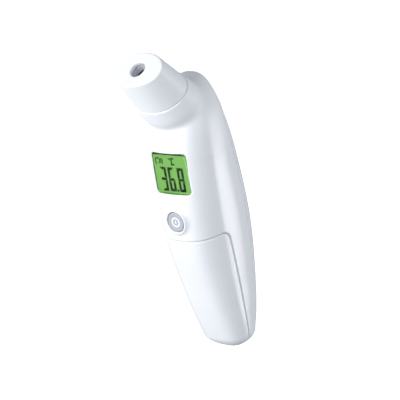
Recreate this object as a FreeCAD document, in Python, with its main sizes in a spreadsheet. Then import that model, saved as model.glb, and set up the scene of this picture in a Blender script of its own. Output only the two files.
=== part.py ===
import FreeCAD, Part
import math
import os
import Sketcher

# Non-contact forehead thermometer, standing on the end of its handle.
# +Z runs up the handle, -Y is the front with the display, +X is its right.
# The origin is the bottom centre of the whole object's box. Millimetres.

Vector = FreeCAD.Vector
document = FreeCAD.newDocument("digital_thermometer")

# ---------------------------------------------------------------- driving dimensions

DIMENSIONS = [
    ("body_height", 138.5, "height of the handle and head, without the nose"),
    ("foot_rounding", 7.0, "rounding radius of the lower end"),
    ("crown_rounding", 18.0, "rounding radius of the upper end"),
    ("squareness", 2.68, "superellipse power of every cross-section"),
    ("wall", 2.0, "thickness of the moulded shells"),
    ("joint_gap", 0.15, "seam between two fixed shells"),
    ("cover_gap", 0.3, "seam around the sliding battery cover"),
    ("split_share", 0.76, "share of the depth in front of the rear cover"),
    ("nose_lean", 38.5, "lean of the nose forward of vertical, degrees"),
    ("nose_seam_y", -9.2, "centre of the nose seam"),
    ("nose_seam_z", 135.6, "centre of the nose seam"),
    ("nose_seam_half_width", 16.0, "oval nose at its seam"),
    ("nose_seam_half_height", 12.2, "oval nose at its seam"),
    ("nose_end_half_width", 13.7, "oval nose at its end face"),
    ("nose_end_half_height", 9.2, "oval nose at its end face"),
    ("nose_root_half_width", 17.6, "oval nose deep in the head"),
    ("nose_root_half_height", 15.2, "oval nose deep in the head"),
    ("nose_length", 18.6, "nose cap, from seam to end face"),
    ("nose_root_depth", 19.0, "length of the nose cone below its seam"),
    ("nose_step", 0.35, "ledge where the nose cap meets the collar"),
    ("cap_wall", 3.2, "thickness of the nose cap"),
    ("cap_end_wall", 2.2, "thickness of the nose cap's end face"),
    ("cap_spigot", 4.0, "length of the nose cap inside the collar"),
    ("aperture_radius", 4.0, "sensor hole in the end face"),
    ("lens_depth", 4.9, "sensor window below the end face"),
    ("lens_thickness", 1.0, "sensor window"),
    ("lens_radius", 4.1, "sensor window"),
    ("lens_aperture_radius", 3.3, "open radius in front of the sensor window"),
    ("sensor_post_x", 8.3, "posts that carry the sensor board"),
    ("sensor_board_depth", 13.0, "sensor board below the end face"),
    ("sensor_board_width", 20.6, "sensor board"),
    ("sensor_board_height", 11.0, "sensor board"),
    ("sensor_board_corner", 3.1, "sides of the sensor board's cut corners"),
    ("sensor_board_thickness", 1.2, "sensor board"),
    ("window_width", 21.7, "display window"),
    ("window_height", 20.0, "display window"),
    ("window_centre_z", 96.6, "display window"),
    ("window_corner", 1.6, "corner radius of the display window"),
    ("window_back_y", -10.4, "flat back of the display window"),
    ("window_gap", 0.08, "fit of the window in its opening"),
    ("board_front_y", -3.9, "front face of the main circuit board"),
    ("board_thickness", 1.6, "main circuit board"),
    ("board_width", 26.0, "main circuit board"),
    ("board_bottom_z", 66.5, "main circuit board"),
    ("board_top_z", 119.5, "main circuit board"),
    ("board_screw_x", 10.6, "main board screws, each side of the centre"),
    ("board_screw_low_z", 81.0, "lower main board screws"),
    ("board_screw_high_z", 113.5, "upper main board screws"),
    ("button_z", 73.1, "centre of the power button"),
    ("button_radius", 5.15, "power button"),
    ("button_face_y", -14.5, "front of the power button"),
    ("button_guide_radius", 5.4, "hole that guides the power button"),
    ("collar_rim_y", -14.75, "front of the raised ring around the button"),
    ("collar_base_y", -13.4, "foot of the raised ring around the button"),
    ("collar_base_radius", 8.0, "foot of the raised ring around the button"),
    ("collar_rim_radius", 6.4, "front of the raised ring around the button"),
    ("cover_lean", 6.7, "lean of the battery cover's side seams, degrees"),
    ("cover_corner_y", 1.9, "upper rear corner of the battery cover"),
    ("cover_corner_z", 64.9, "upper rear corner of the battery cover"),
    ("cover_corner_radius", 4.5, "rounding of the battery cover's corner"),
    ("cell_radius", 5.25, "AAA cell"),
    ("cell_length", 44.5, "AAA cell with its positive nub"),
    ("cell_x", 5.6, "AAA cells, each side of the centre"),
    ("cell_y", 9.6, "AAA cells"),
    ("bay_bottom_z", 12.4, "floor of the battery bay"),
    ("bay_top_z", 60.3, "ceiling of the battery bay"),
    ("contact_thickness", 0.3, "battery contact plates"),
    ("spring_height", 2.8, "battery contact springs, compressed"),
    ("tray_wall", 1.2, "battery tray"),
]

# Cross-sections of the handle: height, front, back and half width.
SECTIONS = [
    ("foot", 0, 2.0, 16.5, 12.0),
    ("heel", 14, -3.0, 21.5, 14.0),
    ("palm", 35, -8.5, 25.5, 16.0),
    ("grip", 62, -13.5, 28.0, 17.5),
    ("screen", 90, -13.5, 26.0, 18.0),
    ("shoulder", 114, -11.5, 21.0, 18.5),
    ("neck", 129, -5.5, 19.0, 17.0),
    ("crown", 138.5, 3.0, 22.5, 16.0),
]
SECTION_SIDES = ("height", "front", "back", "half_width")

sheet = document.addObject("Spreadsheet::Sheet", "Dimensions")
sheet.Label = "driving dimensions"
rows = list(DIMENSIONS)
for section_name, *section_sizes in SECTIONS:
    for side, size in zip(SECTION_SIDES, section_sizes):
        rows.append((f"{section_name}_{side}", size, "cross-section of the handle"))
for row_number, (alias, size, meaning) in enumerate(rows, start=1):
    sheet.set(f"A{row_number}", meaning)
    sheet.set(f"B{row_number}", str(size))
    sheet.setAlias(f"B{row_number}", alias)
document.recompute()


class Size:
    """A number that remembers the sheet expression it comes from."""

    def __init__(self, number, text=None):
        self.number = float(number)
        self.text = text or repr(self.number)

    def combine(self, other, sign, flipped=False):
        other = other if isinstance(other, Size) else Size(other)
        first, second = (other, self) if flipped else (self, other)
        if sign == "+":
            number = first.number + second.number
        elif sign == "-":
            number = first.number - second.number
        elif sign == "*":
            number = first.number * second.number
        else:
            number = first.number / second.number
        return Size(number, f"({first.text} {sign} {second.text})")

    def __add__(self, other):
        return self.combine(other, "+")

    def __radd__(self, other):
        return self.combine(other, "+", True)

    def __sub__(self, other):
        return self.combine(other, "-")

    def __rsub__(self, other):
        return self.combine(other, "-", True)

    def __mul__(self, other):
        return self.combine(other, "*")

    def __rmul__(self, other):
        return self.combine(other, "*", True)

    def __truediv__(self, other):
        return self.combine(other, "/")

    def __neg__(self):
        return self.combine(-1, "*")


class Sheet:
    """Reads an alias of the sheet as a Size."""

    def __getattr__(self, alias):
        return Size(float(sheet.get(alias)), f"Dimensions.{alias}")


d = Sheet()


def number_of(size):
    return size.number if isinstance(size, Size) else float(size)


def text_of(size):
    return size.text if isinstance(size, Size) else repr(float(size))


# ---------------------------------------------------------------- small builders

def bind(item, **sizes):
    for name, size in sizes.items():
        item.setExpression(name, text_of(size))
    return item


def place(item, x=0, y=0, z=0, axis=None, angle=0):
    """Put an item at a point, turned about one axis."""
    if axis:
        item.Placement = FreeCAD.Placement(Vector(), FreeCAD.Rotation(Vector(*axis), 1))
        item.setExpression(".Placement.Rotation.Angle", text_of(angle))
    for name, size in (("x", x), ("y", y), ("z", z)):
        item.setExpression(f".Placement.Base.{name}", text_of(size))
    return item


ACROSS = (1, 0, 0)
TO_BACK = ((1, 0, 0), -90)      # turns a part's own Z axis to +Y
TO_FRONT = ((1, 0, 0), 90)      # turns a part's own Z axis to -Y


def block(name, x, y, z):
    """A box from (low, high) pairs along X, Y and Z."""
    item = document.addObject("Part::Box", name)
    bind(item, Length=x[1] - x[0], Width=y[1] - y[0], Height=z[1] - z[0])
    return place(item, x[0], y[0], z[0])


def centred(size, middle=0):
    """The (low, high) pair of a size about a middle."""
    return middle - size / 2, middle + size / 2


def rod(name, radius, length, x=0, y=0, z=0, turn=None):
    item = document.addObject("Part::Cylinder", name)
    bind(item, Radius=radius, Height=length)
    axis, angle = turn if turn else (None, 0)
    return place(item, x, y, z, axis, angle)


def cut(name, base, tool):
    item = document.addObject("Part::Cut", name)
    item.Refine = False
    item.Base = base
    item.Tool = tool
    return item


def common(name, base, tool):
    item = document.addObject("Part::Common", name)
    item.Refine = False
    item.Base = base
    item.Tool = tool
    return item


def fuse(name, items):
    item = document.addObject("Part::MultiFuse", name)
    item.Refine = False
    item.Shapes = items
    return item


def group(name, items):
    """Several separate solids in one sub-part."""
    item = document.addObject("Part::Compound", name)
    item.Links = items
    return item


def rounded(name, base, radius, chooses):
    """Round the edges of a base that a test of their middle point chooses."""
    document.recompute()
    item = document.addObject("Part::Fillet", name)
    item.Base = base
    item.Edges = [
        (position, number_of(radius), number_of(radius))
        for position, edge in enumerate(base.Shape.Edges, start=1)
        if chooses(edge)
    ]
    return item


def along(direction):
    """A test for straight edges that run in one direction."""
    def chooses(edge):
        if len(edge.Vertexes) != 2:
            return False
        run = edge.Vertexes[1].Point - edge.Vertexes[0].Point
        return run.Length > 0 and abs(run.normalize().dot(Vector(*direction))) > 0.999
    return chooses


def outline(body, name, role, corners):
    """A closed sketch of straight lines whose corners are bound to the sheet."""
    sketch = body.newObject("Sketcher::SketchObject", name)
    plane = [f for f in body.Origin.OriginFeatures if f.Role == role][0]
    sketch.AttachmentSupport = [(plane, "")]
    sketch.MapMode = "FlatFace"
    points = [Vector(number_of(a), number_of(b), 0) for a, b in corners]
    count = len(points)
    for index in range(count):
        sketch.addGeometry(Part.LineSegment(points[index], points[(index + 1) % count]))
    for index in range(count):
        sketch.addConstraint(Sketcher.Constraint("Coincident", index, 2, (index + 1) % count, 1))
    for index, corner in enumerate(corners):
        for kind, size in zip(("DistanceX", "DistanceY"), corner):
            constraint = Sketcher.Constraint(kind, index, 1, number_of(size))
            sketch.renameConstraint(sketch.addConstraint(constraint), f"{kind}{index}")
            sketch.setExpression(f"Constraints.{kind}{index}", text_of(size))
    return sketch


def circles(body, name, role, centres, radius):
    """A sketch of equal circles bound to the sheet."""
    sketch = body.newObject("Sketcher::SketchObject", name)
    plane = [f for f in body.Origin.OriginFeatures if f.Role == role][0]
    sketch.AttachmentSupport = [(plane, "")]
    sketch.MapMode = "FlatFace"
    for index, (a, b) in enumerate(centres):
        centre = Vector(number_of(a), number_of(b), 0)
        sketch.addGeometry(Part.Circle(centre, Vector(0, 0, 1), number_of(radius)))
        for kind, size in (("DistanceX", a), ("DistanceY", b)):
            constraint = Sketcher.Constraint(kind, index, 3, number_of(size))
            sketch.renameConstraint(sketch.addConstraint(constraint), f"{kind}{index}")
            sketch.setExpression(f"Constraints.{kind}{index}", text_of(size))
        constraint = Sketcher.Constraint("Radius", index, number_of(radius))
        sketch.renameConstraint(sketch.addConstraint(constraint), f"radius{index}")
        sketch.setExpression(f"Constraints.radius{index}", text_of(radius))
    return sketch


def turned(name, corners):
    """A body turned about its own Z axis, from (radius, height) corners."""
    body = document.addObject("PartDesign::Body", name)
    sketch = outline(body, f"{name}_profile", "XZ_Plane", corners)
    feature = body.newObject("PartDesign::Revolution", f"{name}_turning")
    feature.Profile = sketch
    feature.ReferenceAxis = (sketch, ["V_Axis"])
    feature.Angle = 360
    body.Tip = feature
    return body


def padded(name, role, corners, thickness):
    """A body padded from one outline."""
    body = document.addObject("PartDesign::Body", name)
    feature = body.newObject("PartDesign::Pad", f"{name}_pad")
    feature.Profile = outline(body, f"{name}_outline", role, corners)
    bind(feature, Length=thickness)
    body.Tip = feature
    return body


def rectangle(x, z):
    return [(x[0], z[0]), (x[1], z[0]), (x[1], z[1]), (x[0], z[1])]


def on_nose(item, depth):
    """Stand an item on the nose's axis, its own Z pointing out of the nose."""
    distance = d.nose_length - depth
    lean = "Dimensions.nose_lean"
    item.Placement = FreeCAD.Placement(Vector(), FreeCAD.Rotation(Vector(*ACROSS), 1))
    item.setExpression(".Placement.Rotation.Angle", lean)
    item.setExpression(".Placement.Base.y", f"Dimensions.nose_seam_y - {text_of(distance)} * sin({lean} * 1 deg)")
    item.setExpression(".Placement.Base.z", f"Dimensions.nose_seam_z + {text_of(distance)} * cos({lean} * 1 deg)")
    return item


def path_tube(name, points, radius):
    """A round tube along straight runs joined by tangent arcs."""
    bend_share = 0.45
    edges = []
    start = points[0]
    for before, corner, after in zip(points, points[1:], points[2:]):
        into = (corner - before).normalize()
        out = (after - corner).normalize()
        reach = bend_share * min((corner - before).Length, (after - corner).Length)
        arc_start = corner - into * reach
        arc_end = corner + out * reach
        half_turn = into.getAngle(out) / 2
        bend = reach / math.tan(half_turn)
        towards = (out - into).normalize()
        centre = corner + towards * (bend / math.cos(half_turn))
        middle = centre - towards * bend
        edges.append(Part.LineSegment(start, arc_start).toShape())
        edges.append(Part.Arc(arc_start, middle, arc_end).toShape())
        start = arc_end
    edges.append(Part.LineSegment(start, points[-1]).toShape())
    circle = Part.Wire(Part.makeCircle(number_of(radius), points[0], points[1] - points[0]))
    item = document.addObject("Part::Feature", name)
    item.Shape = Part.Wire(edges).makePipeShell([circle], True, True)
    return item


# ---------------------------------------------------------------- handle envelope

def profile(column):
    """A smooth curve through one column of the cross-sections, by height."""
    curve = Part.BSplineCurve()
    curve.interpolate([
        Vector(getattr(d, f"{name}_height").number, getattr(d, f"{name}_{column}").number, 0)
        for name, *_ in SECTIONS
    ])
    return curve


PROFILES = {column: profile(column) for column in SECTION_SIDES[1:]}


def profile_at(column, height):
    """The value of a profile at a height."""
    curve = PROFILES[column]
    low, high = curve.FirstParameter, curve.LastParameter
    for _ in range(50):
        middle = (low + high) / 2
        if curve.value(middle).x < height:
            low = middle
        else:
            high = middle
    return curve.value(low).y


def quarter_arc(centre_y, reach_x, reach_y, height, quarter):
    """One quarter of a superellipse, square to the axes at both ends."""
    power = 2 / d.squareness.number
    steps = 6
    points = []
    for step in range(steps + 1):
        angle = math.pi / 2 * (quarter + step / steps)
        cosine, sine = math.cos(angle), math.sin(angle)
        if step in (0, steps):
            cosine, sine = round(cosine), round(sine)
        x = math.copysign(abs(cosine) ** power, cosine) * reach_x
        y = math.copysign(abs(sine) ** power, sine) * reach_y
        points.append(Vector(x, centre_y + y, height))
    start, end = math.pi / 2 * quarter, math.pi / 2 * (quarter + 1)
    curve = Part.BSplineCurve()
    curve.interpolate(
        Points=points,
        InitialTangent=Vector(-round(math.sin(start)), round(math.cos(start)), 0),
        FinalTangent=Vector(-round(math.sin(end)), round(math.cos(end)), 0),
    )
    return curve.toShape()


# Both ends of the handle are rounded up to this angle, and flat beyond it.
FLAT_ANGLE = math.radians(80)


def end_shrink(distance, radius):
    """How much a cross-section shrinks at a distance from an end of the handle."""
    rise = math.sin(FLAT_ANGLE) - distance / radius
    return math.sqrt(1 - rise ** 2) if rise > 0 else 1.0


def section_wire(height, inset):
    """The superellipse cross-section at a height, inset from the outside."""
    front, back, half_width = (profile_at(column, height) for column in SECTION_SIDES[1:])
    foot, crown = d.foot_rounding.number - inset, d.crown_rounding.number - inset
    shrink = end_shrink(height - inset, foot)
    shrink *= end_shrink(d.body_height.number - inset - height, crown)
    reach_x = (half_width - inset) * shrink
    reach_y = ((back - front) / 2 - inset) * shrink
    arcs = [quarter_arc((front + back) / 2, reach_x, reach_y, height, quarter) for quarter in range(4)]
    return Part.Wire(arcs)


def handle_form(name, inset):
    """The handle and head as one solid, inset by a wall."""
    inset = number_of(inset)
    low, high = inset, d.body_height.number - inset
    foot, crown = d.foot_rounding.number - inset, d.crown_rounding.number - inset

    def rise(degrees):
        return math.sin(FLAT_ANGLE) - math.sin(math.radians(degrees))

    heights = [low + foot * rise(degrees) for degrees in (80, 62, 45, 28)]
    heights += [14, 26, 40, 56, 72, 88, 104, 114]
    heights += [high - crown * rise(degrees) for degrees in (18, 36, 52, 66, 80)]
    wires = [section_wire(height, inset) for height in heights]
    item = document.addObject("Part::Feature", name)
    item.Shape = Part.makeLoft(wires, True, False, False, 3)
    return item


def oval(name, half_width, half_height, from_seam):
    """An ellipse across the nose's axis, at a distance outward from the nose seam."""
    item = document.addObject("Part::Ellipse", name)
    bind(item, MajorRadius=half_width, MinorRadius=half_height)
    return on_nose(item, d.nose_length - from_seam)


def oval_cone(name, near, far):
    """A solid between two ovals, each (half width, half height, distance from the seam)."""
    item = document.addObject("Part::Loft", name)
    item.Sections = [oval(f"{name}_near", *near), oval(f"{name}_far", *far)]
    item.Solid = True
    item.Ruled = True
    return item


def inset_oval(sizes, inset, distance=None):
    half_width, half_height, from_seam = sizes
    return half_width - inset, half_height - inset, from_seam if distance is None else distance


seam_oval = (d.nose_seam_half_width, d.nose_seam_half_height, Size(0))
root_oval = (d.nose_root_half_width, d.nose_root_half_height, -d.nose_root_depth)
end_oval = (d.nose_end_half_width, d.nose_end_half_height, d.nose_length)

handle_outside = handle_form("handle_outside", 0)
handle_inside = handle_form("handle_inside", d.wall)
handle_liner = handle_form("handle_liner", d.wall + d.joint_gap)
nose_root_outside = oval_cone("nose_root_outside", root_oval, seam_oval)
through_seam = 1.0
nose_root_inside = oval_cone(
    "nose_root_inside",
    inset_oval(root_oval, d.wall),
    inset_oval(seam_oval, d.wall, Size(through_seam)),
)

# Raised ring that the power button stands in.
button_collar = document.addObject("Part::Cone", "button_collar")
bind(button_collar, Radius1=d.collar_base_radius, Radius2=d.collar_rim_radius)
bind(button_collar, Height=d.collar_base_y - d.collar_rim_y)
place(button_collar, 0, d.collar_base_y, d.button_z, *TO_FRONT)

outside = fuse("outside", [handle_outside, nose_root_outside, button_collar])
inside = fuse("inside", [handle_inside, nose_root_inside])


# ---------------------------------------------------------------- how the shells divide

def behind_split(name, gap):
    """Everything behind the rear cover's parting surface, moved back by a gap."""
    share = d.split_share.number
    far_y = 60
    below, above = -10, 150
    points = []
    for section_name, *_ in SECTIONS:
        front = getattr(d, f"{section_name}_front").number
        back = getattr(d, f"{section_name}_back").number
        height = getattr(d, f"{section_name}_height").number
        points.append(Vector(0, front + share * (back - front) + gap, height))
    low_end = Vector(0, points[0].y, below)
    high_end = Vector(0, points[-1].y, above)
    curve = Part.BSplineCurve()
    curve.interpolate(points)
    edges = [
        Part.LineSegment(low_end, points[0]).toShape(),
        curve.toShape(),
        Part.LineSegment(points[-1], high_end).toShape(),
        Part.LineSegment(high_end, Vector(0, far_y, above)).toShape(),
        Part.LineSegment(Vector(0, far_y, above), Vector(0, far_y, below)).toShape(),
        Part.LineSegment(Vector(0, far_y, below), low_end).toShape(),
    ]
    half_span = 30
    face = Part.Face(Part.Wire(edges))
    face.translate(Vector(-half_span, 0, 0))
    item = document.addObject("Part::Feature", name)
    item.Shape = face.extrude(Vector(2 * half_span, 0, 0))
    return item


def cover_region(name, gap):
    """Everything the battery cover may fill: below its top seam, in front of its side seams."""
    half_span, depth, drop = 30, 40, 80
    body = document.addObject("Part::Box", f"{name}_block")
    bind(body, Length=2 * half_span, Width=depth, Height=drop)
    place(body, -half_span, -depth - gap, -drop - gap)
    rear_corner = rounded(
        name, body, d.cover_corner_radius - gap,
        lambda edge: abs(edge.CenterOfMass.y + number_of(gap)) < 0.01
        and abs(edge.CenterOfMass.z + number_of(gap)) < 0.01,
    )
    return place(rear_corner, 0, d.cover_corner_y, d.cover_corner_z, ACROSS, d.cover_lean)


rear_region = behind_split("rear_region", 0)
rear_cover_region = behind_split("rear_cover_region", d.joint_gap.number)
cover_opening = cover_region("cover_opening", Size(0))
cover_solid = cover_region("cover_solid", d.cover_gap)

window_x = centred(d.window_width)
window_z = centred(d.window_height, d.window_centre_z)
far_front_y = Size(-25)


def window_prism(name, gap):
    """The display opening, from far in front to the window's flat back."""
    prism = block(
        f"{name}_block",
        (window_x[0] + gap, window_x[1] - gap),
        (far_front_y, d.window_back_y),
        (window_z[0] + gap, window_z[1] - gap),
    )
    return rounded(name, prism, d.window_corner, along((0, 1, 0)))


# ---------------------------------------------------------------- casings

SIDES = ((-1, "left"), (1, "right"))
board_screw_places = [
    (d.board_screw_x * side, height, f"{side_name}_{level}")
    for side, side_name in SIDES
    for height, level in ((d.board_screw_low_z, "low"), (d.board_screw_high_z, "high"))
]
BOARD_BOSS_RADIUS = 2.2
SCREW_RADIUS = 0.8
deep_front_y = -20


def front_housing():
    """The front shell with the collar of the nose, board bosses and button guide."""
    boss_reach = d.board_front_y - deep_front_y
    kept = [
        rod(f"board_boss_{name}", BOARD_BOSS_RADIUS, boss_reach, x, deep_front_y, height, TO_BACK)
        for x, height, name in board_screw_places
    ]
    guide_reach = 3.6
    guide_wall = 1.6
    guide = rod("button_guide", d.button_guide_radius + guide_wall, 8, 0,
                d.collar_rim_y + guide_reach - 8, d.button_z, TO_BACK)
    void = cut("front_void", inside, fuse("front_kept", [*kept, guide]))
    shell = cut("front_hollow", outside, void)
    shell = cut("front_split", shell, rear_region)
    shell = cut("front_without_cover", shell, cover_opening)
    pilots = [
        rod(f"board_pilot_{name}", SCREW_RADIUS, 5.0, x, d.board_front_y - 5.0, height, TO_BACK)
        for x, height, name in board_screw_places
    ]
    bore = rod("button_bore", d.button_guide_radius, 20, 0, far_front_y, d.button_z, TO_BACK)
    frame_room = block(
        "frame_room", window_x, (d.window_back_y - 1.0, d.board_front_y),
        (window_z[0], window_z[1]),
    )
    openings = fuse("front_openings", [*pilots, bore, window_prism("window_opening", 0), frame_room])
    return cut("front_housing", shell, openings)


case_screw_places = [(0, 20.0), (0, 50.0)]
trough_radius = d.cell_radius + 0.15
tray_back = d.cell_y + trough_radius + d.tray_wall
CASE_BOSS_RADIUS = 2.2
deep_back_y = 40


def rear_cover():
    """The back shell with two screw bosses that reach the battery tray."""
    shell = common("rear_shell", outside, rear_cover_region)
    bosses = [
        rod(f"case_boss_{index}", CASE_BOSS_RADIUS, deep_back_y - tray_back, x, tray_back, z, TO_BACK)
        for index, (x, z) in enumerate(case_screw_places)
    ]
    void = cut("rear_void", inside, fuse("rear_kept", bosses))
    shell = cut("rear_hollow", shell, void)
    boss_ends = common("rear_boss_ends", fuse("rear_boss_rods", bosses), handle_outside)
    shell = fuse("rear_with_bosses", [shell, boss_ends])
    pilots = [
        rod(f"case_pilot_{index}", SCREW_RADIUS + 0.2, 7.0, x, tray_back, z, TO_BACK)
        for index, (x, z) in enumerate(case_screw_places)
    ]
    return cut("rear_cover", shell, fuse("rear_pilots", pilots))


def battery_cover():
    """The cover that slides down off the front of the handle, with a tongue at its top."""
    shell = cut("cover_shell", common("cover_blank", handle_outside, cover_solid), handle_inside)
    tongue_x = centred(Size(10))
    tongue_back_y = -9.8
    root = block("tongue_root", tongue_x, (Size(-12.2), Size(tongue_back_y)),
                 (d.cover_corner_z - 7.4, d.cover_corner_z - 2.6))
    tongue = block("tongue", tongue_x, (Size(-11.0), Size(tongue_back_y)),
                   (d.cover_corner_z - 7.4, d.cover_corner_z + 0.4))
    return fuse("battery_cover", [shell, root, tongue])


def nose_cap():
    """The removable oval nose with the sensor hole and two sensor posts."""
    shoulder = inset_oval(seam_oval, d.nose_step, Size(0) + d.joint_gap)
    outer = oval_cone("nose_cap_outside", shoulder, end_oval)
    slide_fit = 0.1
    spigot_near = inset_oval(seam_oval, d.wall + slide_fit, -d.cap_spigot)
    spigot_far = inset_oval(seam_oval, d.wall + slide_fit + 0.2, 0.2 + d.joint_gap)
    spigot = oval_cone("nose_cap_spigot", spigot_near, spigot_far)
    hollow_near = inset_oval(seam_oval, d.cap_wall, -d.cap_spigot - 0.5)
    hollow_far = inset_oval(end_oval, d.cap_wall, d.nose_length - d.cap_end_wall)
    hollow = oval_cone("nose_cap_hollow", hollow_near, hollow_far)
    posts = [
        on_nose(rod(f"sensor_post_{name}", 1.8, d.sensor_board_depth - d.cap_end_wall + 0.5), d.sensor_board_depth)
        for side, name in SIDES
    ]
    for (side, _), post in zip(SIDES, posts):
        post.setExpression(".Placement.Base.x", text_of(d.sensor_post_x * side))
    shell = fuse("nose_cap_solid", [cut("nose_cap_shell", fuse("nose_cap_blank", [outer, spigot]), hollow), *posts])
    hole = on_nose(rod("sensor_hole", d.aperture_radius, d.cap_end_wall + 2), d.cap_end_wall + 1)
    pilots = [
        on_nose(rod(f"sensor_pilot_{name}", SCREW_RADIUS, 4.0), d.sensor_board_depth)
        for side, name in SIDES
    ]
    for (side, _), pilot in zip(SIDES, pilots):
        pilot.setExpression(".Placement.Base.x", text_of(d.sensor_post_x * side))
    return cut("nose_cap", shell, fuse("nose_cap_holes", [hole, *pilots]))


def display_window():
    """The clear window, flush with the front and flat at its back."""
    return common("display_window", handle_outside, window_prism("window_prism", d.window_gap))


# ---------------------------------------------------------------- display

FRAME_RIM = 0.5
frame_x = centred(d.window_width - 0.4)
frame_z = centred(d.window_height - 0.4, d.window_centre_z)
glass_x = (frame_x[0] + FRAME_RIM, frame_x[1] - FRAME_RIM)
glass_z = (frame_z[0] + FRAME_RIM, frame_z[1] - FRAME_RIM)
GLASS_THICKNESS = 1.6
STRIP_HEIGHT = 1.5
glass_front_y = d.window_back_y + 0.2
glass_back_y = glass_front_y + GLASS_THICKNESS


def lcd_frame():
    """The thin frame that holds the display against the board."""
    body = padded("lcd_frame", "XZ_Plane", rectangle(frame_x, frame_z), d.board_front_y - d.window_back_y)
    pocket = body.newObject("PartDesign::Pocket", "lcd_frame_opening")
    pocket.Profile = outline(body, "lcd_frame_inside", "XZ_Plane", rectangle(glass_x, glass_z))
    pocket.Type = "ThroughAll"
    pocket.Midplane = True
    body.Tip = pocket
    return place(body, 0, d.board_front_y)


def lcd_glass():
    return block("lcd_glass", glass_x, (glass_front_y, glass_back_y), glass_z)


def lcd_backlight():
    """The light guide behind the glass."""
    z = (glass_z[0] + STRIP_HEIGHT, glass_z[1] - STRIP_HEIGHT)
    return block("lcd_backlight", glass_x, (glass_back_y, glass_back_y + 2.0), z)


def lcd_contact_strips():
    """The two rubber strips that join the glass to the board."""
    strips = [
        block(f"contact_strip_{name}", (glass_x[0] + 1, glass_x[1] - 1), (glass_back_y, d.board_front_y), z)
        for name, z in (
            ("low", (glass_z[0], glass_z[0] + STRIP_HEIGHT)),
            ("high", (glass_z[1] - STRIP_HEIGHT, glass_z[1])),
        )
    ]
    return group("lcd_contact_strips", strips)


# ---------------------------------------------------------------- main board

board_back_y = d.board_front_y + d.board_thickness


def main_board():
    """The main circuit board with its four screw holes."""
    x, z = centred(d.board_width), (d.board_bottom_z, d.board_top_z)
    body = padded("main_board", "XZ_Plane", rectangle(x, z), d.board_thickness)
    pocket = body.newObject("PartDesign::Pocket", "main_board_holes")
    places = [(x, height) for x, height, _ in board_screw_places]
    pocket.Profile = circles(body, "main_board_circles", "XZ_Plane", places, 1.0)
    pocket.Type = "ThroughAll"
    pocket.Midplane = True
    corners = body.newObject("PartDesign::Fillet", "main_board_corners")
    body.Tip = pocket
    document.recompute()
    names = [
        f"Edge{position}"
        for position, edge in enumerate(pocket.Shape.Edges, start=1)
        if along((0, 1, 0))(edge) and abs(edge.CenterOfMass.x) > number_of(x[1]) - 0.01
    ]
    corners.Base = (pocket, names)
    corners.Radius = 2.0
    body.Tip = corners
    return place(body, 0, board_back_y)


def board_screws():
    """Four pan-head screws that hold the main board to its bosses."""
    screws = []
    for x, height, name in board_screw_places:
        shank = rod(f"board_screw_shank_{name}", SCREW_RADIUS, 4.6 + d.board_thickness.number,
                    x, d.board_front_y - 4.6, height, TO_BACK)
        head = rod(f"board_screw_head_{name}", 1.6, 1.1, x, board_back_y, height, TO_BACK)
        slot = block(f"board_screw_slot_{name}", centred(Size(0.4), x),
                     (board_back_y + 0.6, board_back_y + 1.5), centred(Size(2.4), height))
        screws.append(cut(f"board_screw_{name}", fuse(f"board_screw_blank_{name}", [shank, head]), slot))
    return group("board_screws", screws)


def chip(name, x, z, width, height, thickness):
    """A flat component on the back of the main board."""
    return block(name, centred(Size(width, repr(width)), x), (board_back_y, board_back_y + thickness),
                 centred(Size(height, repr(height)), z))


def microcontroller():
    return chip("microcontroller", 0, 96.0, 10, 10, 1.4)


def small_components():
    """Resistors, capacitors, the crystal and the regulator."""
    parts = []
    for column in range(4):
        for level, z in (("low", 87.0), ("high", 103.5)):
            parts.append(chip(f"small_{level}_{column}", -6 + 4 * column, z, 1.6, 0.9, 0.6))
    parts.append(chip("crystal", -8.5, 96.0, 3.0, 7.0, 1.6))
    parts.append(chip("regulator", 8.5, 96.0, 3.0, 4.5, 1.3))
    return group("small_components", parts)


def sensor_socket():
    return chip("sensor_socket", 0, 115.5, 9, 4.0, 3.6)


def buzzer():
    """The round sounder on the back of the board."""
    body = rod("buzzer_case", 5.5, 3.2, 0, board_back_y, 79.0, TO_BACK)
    hole = rod("buzzer_hole", 0.9, 1.6, 0, board_back_y + 2.0, 79.0, TO_BACK)
    return cut("buzzer", body, hole)


def backlight_lamps():
    """Two light-emitting diodes behind the light guide."""
    lamps = [
        block(f"lamp_{name}", centred(Size(3.0), 5.0 * side),
              (d.board_front_y - 0.8, d.board_front_y), centred(Size(1.6), d.window_centre_z))
        for side, name in SIDES
    ]
    return group("backlight_lamps", lamps)


# ---------------------------------------------------------------- power button

PLUNGER_RADIUS = 1.65
PLUNGER_REACH = 1.0
SWITCH_DEPTH = 3.5
switch_front_y = d.board_front_y - SWITCH_DEPTH


def power_switch():
    """The tactile switch under the power button, with a hole for its plunger."""
    case = block("switch_case", centred(Size(6.0)), (switch_front_y, d.board_front_y),
                 centred(Size(6.0), d.button_z))
    well = rod("switch_well", PLUNGER_RADIUS + 0.08, 2.4, 0, switch_front_y - 0.5, d.button_z, TO_BACK)
    return cut("power_switch", case, well)


def switch_plunger():
    """The small pin of the switch that the button presses."""
    return rod("switch_plunger", PLUNGER_RADIUS, PLUNGER_REACH + 1.0, 0,
               switch_front_y - PLUNGER_REACH, d.button_z, TO_BACK)


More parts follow.
